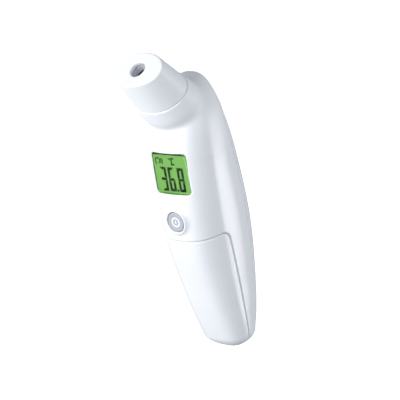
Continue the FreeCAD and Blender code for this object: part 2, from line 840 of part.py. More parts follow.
def power_button():
    """The round button with its flange and stem, its own Z pointing out of the front."""
    flange_front = d.collar_rim_y + 3.6 + 0.1
    flange_back = flange_front + 0.8
    stem_end = switch_front_y - PLUNGER_REACH
    base = d.button_face_y
    crown = 0.25
    corners = [
        (Size(0), base - stem_end),
        (Size(1.5), base - stem_end),
        (Size(1.5), base - flange_back),
        (d.button_radius + 1.2, base - flange_back),
        (d.button_radius + 1.2, base - flange_front),
        (d.button_radius, base - flange_front),
        (d.button_radius, Size(-0.7)),
        (d.button_radius - 0.5, Size(-crown, repr(-crown))),
        (d.button_radius - 1.6, Size(0)),
        (Size(0), Size(0)),
    ]
    return place(turned("power_button", corners), 0, base, d.button_z, *TO_FRONT)


# ---------------------------------------------------------------- sensor in the nose

def turned_on_nose(name, corners):
    """A body turned about the nose's axis, from (radius, depth below the end face) corners."""
    return on_nose(turned(name, [(radius, 0 - depth) for radius, depth in corners]), 0)


CAN_RADIUS = 4.1
CAN_TOP = 1.2
can_front = d.lens_depth + CAN_TOP
can_back = d.sensor_board_depth - 2.0
FUNNEL_END = 9.0


def sensor_funnel():
    """The light-grey funnel between the hole in the end face and the sensor window."""
    front = d.cap_end_wall + 0.1
    return turned_on_nose("sensor_funnel", [
        (d.aperture_radius - 0.1, front),
        (d.aperture_radius + 0.15, front),
        (d.aperture_radius + 0.15, front + 1.3),
        (Size(6.2), front + 1.3),
        (Size(6.2), front + 2.7),
        (Size(4.9), front + 2.7),
        (Size(4.9), Size(FUNNEL_END)),
        (d.lens_radius + 0.05, Size(FUNNEL_END)),
        (d.lens_radius + 0.05, d.lens_depth),
        (d.lens_aperture_radius, d.lens_depth),
    ])


def nose_seal():
    """The ring that seals the funnel against the nose cap."""
    item = document.addObject("Part::Torus", "nose_seal")
    bind(item, Radius1=d.aperture_radius + 0.9, Radius2=Size(0.65))
    return on_nose(item, d.cap_end_wall + 0.7)


def sensor_window():
    depth = d.lens_depth + d.lens_thickness
    return on_nose(rod("sensor_window", d.lens_radius, d.lens_thickness), depth)


def thermopile():
    """The metal can of the infrared sensor with its flange and four pins."""
    pins = []
    for quarter in range(4):
        pin = on_nose(rod(f"sensor_pin_{quarter}", 0.22, 3.6), d.sensor_board_depth + 1.6)
        angle = math.pi / 4 + quarter * math.pi / 2
        pin_circle = 2.5
        lean = "Dimensions.nose_lean * 1 deg"
        pin.setExpression(".Placement.Base.x", repr(pin_circle * math.cos(angle)))
        across = pin_circle * math.sin(angle)
        depth = text_of(d.nose_length - d.sensor_board_depth - 1.6)
        pin.setExpression(".Placement.Base.y",
                          f"Dimensions.nose_seam_y - {depth} * sin({lean}) + {across} * cos({lean})")
        pin.setExpression(".Placement.Base.z",
                          f"Dimensions.nose_seam_z + {depth} * cos({lean}) + {across} * sin({lean})")
        pins.append(pin)
    can = on_nose(rod("sensor_can", CAN_RADIUS, can_back - can_front), can_back)
    flange = on_nose(rod("sensor_flange", 4.6, 0.6), can_back + 0.6)
    return fuse("thermopile", [can, flange, *pins])


def sensor_holder():
    """The aluminium block that keeps the sensor at one temperature."""
    outer = Size(6.1)
    return turned_on_nose("sensor_holder", [
        (Size(CAN_RADIUS + 0.05), Size(FUNNEL_END)),
        (outer, Size(FUNNEL_END)),
        (outer, d.sensor_board_depth),
        (Size(4.65), d.sensor_board_depth),
        (Size(4.65), can_back),
        (Size(CAN_RADIUS + 0.05), can_back),
    ])


def sensor_board():
    """The small circuit board behind the sensor."""
    (left, right), (low, high) = centred(d.sensor_board_width), centred(d.sensor_board_height)
    corner = d.sensor_board_corner
    edge = [
        (left + corner, low), (right - corner, low), (right, low + corner), (right, high - corner),
        (right - corner, high), (left + corner, high), (left, high - corner), (left, low + corner),
    ]
    body = padded("sensor_board", "XY_Plane", edge, d.sensor_board_thickness)
    pocket = body.newObject("PartDesign::Pocket", "sensor_board_holes")
    pin_reach = 2.5 * math.sqrt(0.5)
    pins = [(a, b) for a in (-pin_reach, pin_reach) for b in (-pin_reach, pin_reach)]
    pocket.Profile = circles(body, "sensor_board_pins", "XY_Plane", pins, 0.35)
    pocket.Type = "ThroughAll"
    pocket.Midplane = True
    screws = body.newObject("PartDesign::Pocket", "sensor_board_screw_holes")
    places = [(d.sensor_post_x * side, Size(0)) for side, _ in SIDES]
    screws.Profile = circles(body, "sensor_board_screw_circles", "XY_Plane", places, 0.95)
    screws.Type = "ThroughAll"
    screws.Midplane = True
    body.Tip = screws
    return on_nose(body, d.sensor_board_depth + d.sensor_board_thickness)


def sensor_screws():
    """Two screws that hold the sensor board to the posts."""
    screws = []
    for side, name in SIDES:
        shank = on_nose(rod(f"sensor_screw_shank_{name}", SCREW_RADIUS, 3.6 + d.sensor_board_thickness.number),
                        d.sensor_board_depth + d.sensor_board_thickness)
        head = on_nose(rod(f"sensor_screw_head_{name}", 1.5, 1.0),
                       d.sensor_board_depth + d.sensor_board_thickness + 1.0)
        for item in (shank, head):
            item.setExpression(".Placement.Base.x", text_of(d.sensor_post_x * side))
        screws.append(fuse(f"sensor_screw_{name}", [shank, head]))
    return group("sensor_screws", screws)


def nose_point(depth, across=0.0):
    """A point on the nose's axis at a depth below the end face."""
    lean = math.radians(d.nose_lean.number)
    distance = d.nose_length.number - number_of(depth)
    y = d.nose_seam_y.number - distance * math.sin(lean) + across * math.cos(lean)
    z = d.nose_seam_z.number + distance * math.cos(lean) + across * math.sin(lean)
    return Vector(0, y, z)


def sensor_cable():
    """The jacketed lead from the sensor board down to its socket on the main board."""
    start = nose_point(d.sensor_board_depth + d.sensor_board_thickness)
    lean = math.radians(d.nose_lean.number)
    inward = Vector(0, math.sin(lean), -math.cos(lean))
    end_y = board_back_y.number + 2.0
    run = (end_y - start.y) / inward.y
    corner = start + inward * run
    end = Vector(0, end_y, 117.5)
    return path_tube("sensor_cable", [start, corner, end], 1.0)


# ---------------------------------------------------------------- batteries

bay_z = (d.bay_bottom_z, d.bay_top_z)


def battery_tray():
    """The tray behind the battery cover, shaped to the handle, with two round troughs."""
    span = centred(Size(60))
    blank = block("tray_block", span, (Size(-5), tray_back),
                  (d.bay_bottom_z - d.tray_wall, d.bay_top_z + d.tray_wall))
    troughs = [
        rod(f"trough_{name}", trough_radius, d.bay_top_z - d.bay_bottom_z,
            d.cell_x * side, d.cell_y, d.bay_bottom_z)
        for side, name in SIDES
    ]
    mouth = block("tray_mouth", centred(2 * (d.cell_x + d.cell_radius)),
                  (Size(-8), d.cell_y), bay_z)
    clearances = [
        rod(f"case_screw_room_{index}", SCREW_RADIUS + 0.3, 6, x, tray_back - 5, z, TO_BACK)
        for index, (x, z) in enumerate(case_screw_places)
    ]
    head_rooms = [
        rod(f"case_head_room_{index}", 1.9, 6, x, d.cell_y - 0.5, z, TO_BACK)
        for index, (x, z) in enumerate(case_screw_places)
    ]
    hollow = cut("tray_hollow", blank, fuse("tray_room", [*troughs, mouth, *clearances, *head_rooms]))
    opened = cut("tray_open", hollow, cover_region("tray_clear", Size(-0.3)))
    return common("battery_tray", opened, handle_liner)


def case_screws():
    """Two screws through the tray's floor into the rear cover."""
    head_y = d.cell_y + 5.5
    screws = []
    for index, (x, z) in enumerate(case_screw_places):
        shank = rod(f"case_screw_shank_{index}", SCREW_RADIUS + 0.2, tray_back + 6.0 - head_y, x, head_y, z, TO_BACK)
        head = rod(f"case_screw_head_{index}", 1.8, 1.2, x, head_y - 1.2, z, TO_BACK)
        slot = block(f"case_screw_slot_{index}", centred(Size(2.6), x),
                     (head_y - 1.6, head_y - 0.6), centred(Size(0.45), z))
        screws.append(cut(f"case_screw_{index}", fuse(f"case_screw_blank_{index}", [shank, head]), slot))
    return group("case_screws", screws)


def battery(name, side, nub_up):
    """An AAA cell with its positive nub up or down."""
    nub = 0.9
    radius = Size(0)
    can = d.cell_length - nub
    corners = [
        (radius, Size(0)),
        (d.cell_radius - 0.4, Size(0)),
        (d.cell_radius, Size(0.4)),
        (d.cell_radius, can - 0.4),
        (d.cell_radius - 0.4, can),
        (Size(1.9), can),
        (Size(1.9), d.cell_length),
        (radius, d.cell_length),
    ]
    cell = turned(name, corners)
    low_z = d.bay_bottom_z + d.contact_thickness
    if nub_up:
        return place(cell, d.cell_x * side, d.cell_y, low_z + d.spring_height)
    return place(cell, d.cell_x * side, d.cell_y, low_z + d.cell_length, ACROSS, 180)


def contact_spring(name, side, end_z, inward):
    """A bent metal strip that presses on a cell's negative end, folded from the bay's end."""
    width = 3.6
    fold = [
        (-3.0, 0.0), (3.3, 0.0), (3.3, 0.5), (-0.4, 2.8), (-2.6, 2.8),
        (-2.6, 2.5), (-0.5, 2.5), (2.9, 0.45), (2.7, 0.25), (-3.0, 0.25),
    ]
    corners = [(d.cell_y + y, end_z + inward * z) for y, z in fold]
    strip = padded(name, "YZ_Plane", corners, width)
    return place(strip, d.cell_x * side - width / 2)


def contact_springs():
    low = contact_spring("contact_spring_low", -1, d.bay_bottom_z + d.contact_thickness, 1)
    high = contact_spring("contact_spring_high", 1, d.bay_top_z - d.contact_thickness, -1)
    return group("contact_springs", [low, high])


def contact_plates():
    """The bridge under both cells and the two plates above them."""
    half = 3.7
    plate_y = centred(Size(2 * half), d.cell_y)
    low = block("contact_bridge", (-d.cell_x - half, d.cell_x + half),
                (d.cell_y - half, d.cell_y - 0.3), (d.bay_bottom_z, d.bay_bottom_z + d.contact_thickness))
    high = [
        block(f"contact_plate_{name}", centred(Size(2 * half), d.cell_x * side), plate_y,
              (d.bay_top_z - d.contact_thickness, d.bay_top_z))
        for side, name in SIDES
    ]
    return group("contact_plates", [low, *high])


def battery_wire(name, side):
    """A lead from the tray's top to the back of the main board."""
    x = number_of(d.cell_x) * side
    top = d.bay_top_z.number + d.tray_wall.number
    turn_z = 70.0
    points = [
        Vector(x, d.cell_y.number, top),
        Vector(x, d.cell_y.number, turn_z),
        Vector(x, board_back_y.number, turn_z),
    ]
    return path_tube(name, points, 0.6)


# ---------------------------------------------------------------- build and write

SUBPARTS = {
    "front_housing": front_housing(),
    "rear_cover": rear_cover(),
    "battery_cover": battery_cover(),
    "nose_cap": nose_cap(),
    "nose_seal": nose_seal(),
    "sensor_funnel": sensor_funnel(),
    "sensor_window": sensor_window(),
    "thermopile": thermopile(),
    "sensor_holder": sensor_holder(),
    "sensor_board": sensor_board(),
    "sensor_screws": sensor_screws(),
    "sensor_cable": sensor_cable(),
    "display_window": display_window(),
    "lcd_frame": lcd_frame(),
    "lcd_glass": lcd_glass(),
    "lcd_backlight": lcd_backlight(),
    "lcd_contact_strips": lcd_contact_strips(),
    "backlight_lamps": backlight_lamps(),
    "main_board": main_board(),
    "board_screws": board_screws(),
    "microcontroller": microcontroller(),
    "small_components": small_components(),
    "sensor_socket": sensor_socket(),
    "buzzer": buzzer(),
    "power_switch": power_switch(),
    "switch_plunger": switch_plunger(),
    "power_button": power_button(),
    "battery_tray": battery_tray(),
    "case_screws": case_screws(),
    "battery_left": battery("battery_left", -1, True),
    "battery_right": battery("battery_right", 1, False),
    "contact_springs": contact_springs(),
    "contact_plates": contact_plates(),
    "battery_wire_red": battery_wire("battery_wire_red", -1),
    "battery_wire_black": battery_wire("battery_wire_black", 1),
}
for label, subpart in SUBPARTS.items():
    subpart.Label = label
document.recompute()

failed = [item.Name for item in document.Objects if {"Invalid", "Error"} & set(item.State)]
failed += [
    label for label, subpart in SUBPARTS.items()
    if subpart.Shape.isNull() or not subpart.Shape.isValid()
]
if failed:
    raise RuntimeError("these objects failed: " + ", ".join(failed))

os.makedirs("parts", exist_ok=True)
for label, subpart in SUBPARTS.items():
    subpart.Shape.exportStep(f"parts/{label}.step")
    box = subpart.Shape.BoundBox
    print(f"{label}: {subpart.Shape.Volume:.1f} mm3, {len(subpart.Shape.Solids)} solids, "
          f"x {box.XMin:.1f} {box.XMax:.1f}, y {box.YMin:.1f} {box.YMax:.1f}, z {box.ZMin:.1f} {box.ZMax:.1f}")
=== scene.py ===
import math

import bmesh
import bpy
import numpy as np
from mathutils import Matrix, Vector


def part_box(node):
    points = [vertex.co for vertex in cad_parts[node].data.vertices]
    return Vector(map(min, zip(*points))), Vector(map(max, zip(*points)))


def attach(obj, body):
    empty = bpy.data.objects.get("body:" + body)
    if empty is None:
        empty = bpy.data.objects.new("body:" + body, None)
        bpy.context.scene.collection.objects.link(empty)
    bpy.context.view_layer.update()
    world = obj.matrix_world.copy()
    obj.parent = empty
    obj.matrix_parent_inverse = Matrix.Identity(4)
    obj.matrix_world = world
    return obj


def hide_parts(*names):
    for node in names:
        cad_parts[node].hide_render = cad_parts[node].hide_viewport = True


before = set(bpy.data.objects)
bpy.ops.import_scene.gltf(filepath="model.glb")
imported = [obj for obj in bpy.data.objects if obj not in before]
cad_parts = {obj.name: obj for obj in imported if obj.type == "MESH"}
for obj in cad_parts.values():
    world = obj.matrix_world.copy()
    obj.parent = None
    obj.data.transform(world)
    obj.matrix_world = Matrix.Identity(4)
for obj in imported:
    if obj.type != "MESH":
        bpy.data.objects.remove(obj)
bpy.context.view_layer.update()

# Forehead thermometer: +Z up the handle, -Y the front with the display, +X its right.
# Lengths in this script are millimetres, and pieces are written in metres.
# Some sizes differ from the CAD, by under a millimetre: the button and its collar and hole,
# the window, the display glass, the nose end and the seams.
MM = 0.001

# ---------------------------------------------------------------- driving sizes

# Cross-sections of the handle: height, front, back and half width.
SECTIONS = np.array([
    (0, 2.0, 16.5, 12.0),
    (14, -3.0, 21.5, 14.0),
    (35, -8.5, 25.5, 16.0),
    (62, -13.5, 28.0, 17.5),
    (90, -13.5, 26.0, 18.0),
    (114, -11.5, 21.0, 18.5),
    (129, -5.5, 19.0, 17.0),
    (138.5, 3.0, 22.5, 16.0),
])
SQUARENESS = 2.68
FOOT_ROUNDING = 7.0
CROWN_ROUNDING = 18.0
FLAT_ANGLE = math.radians(80)
BODY_HEIGHT = SECTIONS[-1, 0]
WALL = 2.0
SPLIT_SHARE = 0.76
SHELL_GAP = 0.25            # seam between the two housing halves
COVER_GAP = 0.2             # seam around the battery cover

NOSE_LEAN = math.radians(38.5)
NOSE_SEAM = np.array((0, -9.2, 135.6))
NOSE_OUT = np.array((0, -math.sin(NOSE_LEAN), math.cos(NOSE_LEAN)))
NOSE_UP = np.array((0, math.cos(NOSE_LEAN), math.sin(NOSE_LEAN)))
NOSE_SEAM_HALF = np.array((16.0, 12.2))
NOSE_END_HALF = np.array((14.3, 9.3))
NOSE_ROOT_HALF = np.array((17.6, 15.2))
NOSE_LENGTH = 18.6
NOSE_ROOT_DEPTH = 19.0
NOSE_BURIED = 6.0           # deeper than this the nose narrows, hidden inside the head
NOSE_TUCK = 7.0
NOSE_STEP = 0.35            # ledge where the cap meets the collar
SEAM_GAP = 0.08
CAP_WALL = 3.2
CAP_END_WALL = 2.2
SPIGOT_DEPTH = 4.0          # part of the cap that plugs into the collar
SPIGOT_SLACK = 0.1
APERTURE = 4.0              # radius of the sensor hole

COVER_LEAN = math.radians(6.7)
COVER_CORNER = (1.9, 64.9)
COVER_CORNER_RADIUS = 4.5

WINDOW_HALF = (10.6, 10.0)
WINDOW_Z = 96.6
WINDOW_CORNER = 1.6
WINDOW_BACK_Y = -11.25

BUTTON_Z = 73.1
BUTTON_RADIUS = 4.8
BUTTON_FACE_Y = -14.5
BUTTON_HOLE = 5.05
COLLAR_TOP = 5.9
COLLAR_BASE = 7.1
COLLAR_RIM_Y = -14.75
COLLAR_BASE_Y = -13.4

FRONT_FACE_END = -4.0       # openings in the front go no further back than this
COLLAR_ROOT_Y = -8.0        # the collar ends here, hidden in the wall
CREASE = 2.2                # blend where the nose grows out of the head
COLLAR_CREASE = 0.7         # blend where the collar grows out of the front
EDGE = 0.7                  # rounding of the moulded edges
FINE_EDGE = 0.3
SEAM_EDGE = 0.2
COVER_EDGE = 0.6
PANE_EDGE = 0.1
PANE_SLACK = 0.08           # gap between the pane and its opening

# The cover's catch: half width, back, foot and top of the tongue, and the thicker root below it.
CATCH_HALF = 5.0
CATCH_BACK_Y = -9.8
CATCH_FOOT_Z = 57.5
TONGUE_Y, TONGUE_TOP_Z = -11.0, 65.3
ROOT_Y, ROOT_TOP_Z = -12.2, 62.3


# ---------------------------------------------------------------- fields that describe the casings

def natural_spline(knots, values):
    """A smooth curve through values at knots, as a function of an array."""
    count = len(knots)
    gaps = np.diff(knots)
    system = np.eye(count)
    right = np.zeros(count)
    for i in range(1, count - 1):
        system[i, i - 1:i + 2] = gaps[i - 1], 2 * (gaps[i - 1] + gaps[i]), gaps[i]
        slope_after = (values[i + 1] - values[i]) / gaps[i]
        slope_before = (values[i] - values[i - 1]) / gaps[i - 1]
        right[i] = 6 * (slope_after - slope_before)
    bends = np.linalg.solve(system, right)

    def curve(at):
        at = np.clip(at, knots[0], knots[-1])
        i = np.clip(np.searchsorted(knots, at) - 1, 0, count - 2)
        gap = gaps[i]
        after = at - knots[i]
        before = knots[i + 1] - at
        return (
            (bends[i] * before ** 3 + bends[i + 1] * after ** 3) / (6 * gap)
            + (values[i] / gap - bends[i] * gap / 6) * before
            + (values[i + 1] / gap - bends[i + 1] * gap / 6) * after
        )

    return curve


FRONT, BACK, HALF_WIDTH = (natural_spline(SECTIONS[:, 0], SECTIONS[:, k]) for k in (1, 2, 3))
SPLIT = natural_spline(
    SECTIONS[:, 0], SECTIONS[:, 1] + SPLIT_SHARE * (SECTIONS[:, 2] - SECTIONS[:, 1])
)


def soft_min(a, b, blend):
    """The lower of two fields, with their crease filled over a blend distance."""
    near = np.maximum(blend - np.abs(a - b), 0) / blend
    return np.minimum(a, b) - near * near * blend / 4


def soft_max(a, b, blend):
    """The higher of two fields, with their edge rounded over a blend distance."""
    return -soft_min(-a, -b, blend)


def end_shrink(distance, radius):
    rise = np.clip(math.sin(FLAT_ANGLE) - distance / radius, 0, math.sin(FLAT_ANGLE))
    return np.sqrt(1 - rise ** 2)


def handle(x, y, z, inset=0.0):
    """Signed distance, near enough, to the handle and head."""
    low, high = inset, BODY_HEIGHT - inset
    level = np.clip(z, low, high)
    shrink = end_shrink(level - low, FOOT_ROUNDING - inset)
    shrink = shrink * end_shrink(high - level, CROWN_ROUNDING - inset)
    front, back = FRONT(level), BACK(level)
    reach_x = (HALF_WIDTH(level) - inset) * shrink
    reach_y = ((back - front) / 2 - inset) * shrink
    rho = np.abs(x / reach_x) ** SQUARENESS + np.abs((y - (front + back) / 2) / reach_y) ** SQUARENESS
    side = (rho ** (1 / SQUARENESS) - 1) * np.minimum(reach_x, reach_y)
    return np.maximum(side, np.maximum(low - z, z - high))


def nose_axes(y, z):
    """Distance out along the nose from its seam, and across it."""
    along = (y - NOSE_SEAM[1]) * NOSE_OUT[1] + (z - NOSE_SEAM[2]) * NOSE_OUT[2]
    across = (y - NOSE_SEAM[1]) * NOSE_UP[1] + (z - NOSE_SEAM[2]) * NOSE_UP[2]
    return along, across


def nose(x, y, z, inset=0.0):
    """The oval cone of the nose, without ends."""
    along, across = nose_axes(y, z)
    out = np.clip(along / NOSE_LENGTH, 0, 1.2)
    root = np.clip(-along / NOSE_ROOT_DEPTH, 0, 1.2)
    buried = np.clip((-along - NOSE_BURIED) / (NOSE_ROOT_DEPTH - NOSE_BURIED), 0, 1)
    reach = [
        NOSE_SEAM_HALF[k] + out * (NOSE_END_HALF[k] - NOSE_SEAM_HALF[k])
        + root * (NOSE_ROOT_HALF[k] - NOSE_SEAM_HALF[k]) - NOSE_TUCK * buried ** 2 - inset
        for k in (0, 1)
    ]
    rho = np.sqrt((x / reach[0]) ** 2 + (across / reach[1]) ** 2)
    return (rho - 1) * np.minimum(*reach)


def nose_root(x, y, z, inset=0.0, top=0.0):
    along, _ = nose_axes(y, z)
    return np.maximum(nose(x, y, z, inset), np.maximum(along - top, -NOSE_ROOT_DEPTH - along))


def cavity(x, y, z):
    return np.minimum(handle(x, y, z, WALL), nose_root(x, y, z, WALL, top=1.0))


SLANT_SCALE = 0.7           # makes the slanted side's field near enough a true distance


def button_ring(x, y, z):
    """The low raised ring around the power button."""
    rise = np.clip((COLLAR_BASE_Y - y) / (COLLAR_BASE_Y - COLLAR_RIM_Y), 0, 1.2)
    radius = COLLAR_BASE + (COLLAR_TOP - COLLAR_BASE) * rise
    ring = (np.hypot(x, z - BUTTON_Z) - radius) * SLANT_SCALE
    return np.maximum(np.maximum(ring, COLLAR_RIM_Y - y), y - COLLAR_ROOT_Y)


def cover_area(x, y, z):
    """Negative where the battery cover lies: below its top seam and in front of its side seams."""
    behind = (y - COVER_CORNER[0]) * math.cos(COVER_LEAN) + (z - COVER_CORNER[1]) * math.sin(COVER_LEAN)
    above = (z - COVER_CORNER[1]) * math.cos(COVER_LEAN) - (y - COVER_CORNER[0]) * math.sin(COVER_LEAN)
    p, q = behind + COVER_CORNER_RADIUS, above + COVER_CORNER_RADIUS
    corner = np.hypot(np.maximum(p, 0), np.maximum(q, 0)) + np.minimum(np.maximum(p, q), 0)
    return corner - COVER_CORNER_RADIUS + 0 * x     # the same for every x, spread over the grid


def behind_split(y, z):
    return y - SPLIT(z)


def window_area(x, y, z, shrink=0.0):
    """Negative inside the rounded rectangle of the display window."""
    p = np.abs(x) - WINDOW_HALF[0] + WINDOW_CORNER + shrink
    q = np.abs(z - WINDOW_Z) - WINDOW_HALF[1] + WINDOW_CORNER + shrink
    outside = np.hypot(np.maximum(p, 0), np.maximum(q, 0)) + np.minimum(np.maximum(p, q), 0)
    return outside - WINDOW_CORNER


def front_skin(x, y, z):
    skin = soft_min(handle(x, y, z), nose_root(x, y, z), CREASE)
    return soft_min(skin, button_ring(x, y, z), COLLAR_CREASE)


def front_housing_field(x, y, z):
    shell = soft_max(front_skin(x, y, z), -cavity(x, y, z), FINE_EDGE)
    along, _ = nose_axes(y, z)
    shell = soft_max(shell, along, SEAM_EDGE)
    shell = soft_max(shell, behind_split(y, z), EDGE)
    shell = soft_max(shell, -cover_area(x, y, z), COVER_EDGE)
    shell = soft_max(shell, -np.maximum(window_area(x, y, z), y - FRONT_FACE_END), FINE_EDGE)
    return soft_max(shell, -np.maximum(np.hypot(x, z - BUTTON_Z) - BUTTON_HOLE, y - FRONT_FACE_END), EDGE)


def rear_cover_field(x, y, z):
    shell = soft_max(handle(x, y, z), -cavity(x, y, z), FINE_EDGE)
    return soft_max(shell, SHELL_GAP - behind_split(y, z), EDGE)


def box_field(x, y, z, low, high):
    across_x = np.maximum(low[0] - x, x - high[0])
    across_y = np.maximum(low[1] - y, y - high[1])
    return np.maximum(np.maximum(across_x, across_y), np.maximum(low[2] - z, z - high[2]))


def battery_cover_field(x, y, z):
    shell = soft_max(handle(x, y, z), -handle(x, y, z, WALL), FINE_EDGE)
    shell = soft_max(shell, cover_area(x, y, z) + COVER_GAP, COVER_EDGE)
    for front_y, top_z in ((ROOT_Y, ROOT_TOP_Z), (TONGUE_Y, TONGUE_TOP_Z)):
        low, high = (-CATCH_HALF, front_y, CATCH_FOOT_Z), (CATCH_HALF, CATCH_BACK_Y, top_z)
        shell = np.minimum(shell, box_field(x, y, z, low, high))
    return shell


def nose_cap_field(x, y, z):
    along, across = nose_axes(y, z)
    outer = nose(x, y, z, NOSE_STEP * np.clip(1 - along / NOSE_LENGTH, 0, 1))
    solid = soft_max(outer, SEAM_GAP - along, SEAM_EDGE)
    solid = soft_max(solid, along - NOSE_LENGTH, EDGE)
    spigot = np.maximum(nose(x, y, z, WALL + SPIGOT_SLACK), np.maximum(-SPIGOT_DEPTH - along, along - 1.0))
    solid = np.minimum(solid, spigot)
    hollow = np.maximum(nose(x, y, z, CAP_WALL), along - (NOSE_LENGTH - CAP_END_WALL))
    solid = np.maximum(solid, -hollow)
    return soft_max(solid, APERTURE - np.hypot(x, across), FINE_EDGE)


def display_window_field(x, y, z):
    pane = np.maximum(window_area(x, y, z, PANE_SLACK), y - WINDOW_BACK_Y)
    return soft_max(handle(x, y, z), pane, PANE_EDGE)


# ---------------------------------------------------------------- meshes from fields

CELL_CORNERS = np.array([(i, j, k) for i in (0, 1) for j in (0, 1) for k in (0, 1)])


def surface_of(field, low, high, step):
    """Vertices and quads of the zero surface of a field in a box, by surface nets."""
    axes = [np.arange(low[k] - step, high[k] + 2 * step, step) for k in range(3)]
    values = field(axes[0][:, None, None], axes[1][None, :, None], axes[2][None, None, :])
    inside = values < 0
    cells = tuple(size - 1 for size in inside.shape)
    count = np.zeros(cells, np.int8)
    for i, j, k in CELL_CORNERS:
        count += inside[i:i + cells[0], j:j + cells[1], k:k + cells[2]]
    active = np.argwhere((count > 0) & (count < 8))
    corners = values[tuple((active[:, None, :] + CELL_CORNERS[None]).transpose(2, 0, 1))]
    total = np.zeros((len(active), 3))
    hits = np.zeros(len(active))
    for a in range(8):
        for b in range(a + 1, 8):
            if np.abs(CELL_CORNERS[a] - CELL_CORNERS[b]).sum() != 1:
                continue
            crossed = (corners[:, a] < 0) != (corners[:, b] < 0)
            share = corners[crossed, a] / (corners[crossed, a] - corners[crossed, b])
            total[crossed] += CELL_CORNERS[a] + share[:, None] * (CELL_CORNERS[b] - CELL_CORNERS[a])
            hits[crossed] += 1
    origin = np.array([axis[0] for axis in axes])
    points = origin + (active + total / hits[:, None]) * step

    numbers = np.full(cells, -1, np.int64)
    numbers[tuple(active.T)] = np.arange(len(active))
    quads = []
    for k in range(3):
        u, v = (k + 1) % 3, (k + 2) % 3
        ahead = np.moveaxis(inside, k, 0)[1:]
        here = np.moveaxis(inside, k, 0)[:-1]
        changed = np.moveaxis(ahead != here, 0, k)
        leaving = np.moveaxis(here & ~ahead, 0, k)
        edge = np.argwhere(changed)
        edge = edge[(edge[:, u] > 0) & (edge[:, v] > 0)]
        back_u, back_v = np.eye(3, dtype=int)[u], np.eye(3, dtype=int)[v]
        ring = [
            numbers[tuple((edge - a * back_u - b * back_v).T)]
            for a, b in ((0, 0), (1, 0), (1, 1), (0, 1))
        ]
        quad = np.stack(ring, 1)
        flip = ~leaving[tuple(edge.T)]
        quad[flip] = quad[flip][:, ::-1]
        quads.append(quad)
    return points, np.concatenate(quads)


def slope(field, points, reach=0.02):
    """The gradient of a field at points."""
    parts = []
    for k in range(3):
        shift = np.eye(3)[k] * reach
        parts.append((field(*(points + shift).T) - field(*(points - shift).T)) / (2 * reach))
    return np.stack(parts, 1)


def settle(field, points, step):
    """Move points onto the surface, at most a share of a grid step."""
    for _ in range(2):
        gradient = slope(field, points)
        square = (gradient ** 2).sum(1) + 1e-9
        move = -(field(*points.T) / square)[:, None] * gradient
        length = np.linalg.norm(move, axis=1, keepdims=True) + 1e-9
        points = points + move * np.minimum(1, 0.35 * step / length)
    return points


def mesh_object(name, points, faces, smooth=True):
    mesh = bpy.data.meshes.new(name)
    mesh.from_pydata((np.asarray(points) * MM).tolist(), [], [list(map(int, face)) for face in faces])
    mesh.update()
    piece = bpy.data.objects.new(name, mesh)
    bpy.context.scene.collection.objects.link(piece)
    if smooth:
        mesh.polygons.foreach_set("use_smooth", [True] * len(mesh.polygons))
    return piece


def moulding(name, field, low, high, step, node, body, surface):
    """A casing piece meshed from its field, standing for its CAD node."""
    points, quads = surface_of(field, low, high, step)
    points = settle(field, points, step)
    piece = mesh_object(name, points, quads)
    piece.data.materials.append(surface)
    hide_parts(node)
    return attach(piece, body)


# ---------------------------------------------------------------- materials

def material(name):
    item = bpy.data.materials.new(name)
    item.use_nodes = True
    return item, item.node_tree.nodes, item.node_tree.links, item.node_tree.nodes["Principled BSDF"]


def textured(name, dark, light, roughness, grain=900.0, bump=0.02, metallic=0.0, patches=60.0, **sockets):
    """A moulded or metal surface: slow colour patches, fine grain in roughness and bump."""
    item, nodes, links, shader = material(name)
    place = nodes.new("ShaderNodeTexCoord")
    slow = nodes.new("ShaderNodeTexNoise")
    slow.inputs["Scale"].default_value = patches
    slow.inputs["Detail"].default_value = 3.0
    fine = nodes.new("ShaderNodeTexNoise")
    fine.inputs["Scale"].default_value = grain
    fine.inputs["Detail"].default_value = 4.0
    colours = nodes.new("ShaderNodeValToRGB")
    colours.color_ramp.elements[0].color = (*dark, 1)
    colours.color_ramp.elements[1].color = (*light, 1)
    colours.color_ramp.elements[0].position = 0.3
    colours.color_ramp.elements[1].position = 0.7
    rough = nodes.new("ShaderNodeMapRange")
    rough.inputs["To Min"].default_value = roughness[0]
    rough.inputs["To Max"].default_value = roughness[1]
    relief = nodes.new("ShaderNodeBump")
    relief.inputs["Strength"].default_value = bump
    relief.inputs["Distance"].default_value = 0.0001
    for texture in (slow, fine):
        links.new(place.outputs["Object"], texture.inputs["Vector"])
    links.new(slow.outputs["Fac"], colours.inputs["Fac"])
    links.new(colours.outputs["Color"], shader.inputs["Base Color"])
    links.new(fine.outputs["Fac"], rough.inputs["Value"])
    links.new(rough.outputs["Result"], shader.inputs["Roughness"])
    links.new(fine.outputs["Fac"], relief.inputs["Height"])
    links.new(relief.outputs["Normal"], shader.inputs["Normal"])
    shader.inputs["Metallic"].default_value = metallic
    for socket, value in sockets.items():
        shader.inputs[socket.replace("_", " ")].default_value = value
    return item


def satin_above(item, low, high, roughness):
    """The surface turns from glossy to satin between two heights, up to a roughness."""
    nodes, links = item.node_tree.nodes, item.node_tree.links
    height = nodes.new("ShaderNodeSeparateXYZ")
    satin = nodes.new("ShaderNodeMapRange")
    satin.interpolation_type = "SMOOTHSTEP"
    satin.inputs["From Min"].default_value = low * MM
    satin.inputs["From Max"].default_value = high * MM
    grain = nodes["Principled BSDF"].inputs["Roughness"].links[0].from_node
    satin.inputs["To Min"].default_value = grain.inputs["To Max"].default_value
    satin.inputs["To Max"].default_value = roughness
    links.new(nodes["Texture Coordinate"].outputs["Object"], height.inputs["Vector"])
    links.new(height.outputs["Z"], satin.inputs["Value"])
    links.new(satin.outputs["Result"], grain.inputs["To Max"])


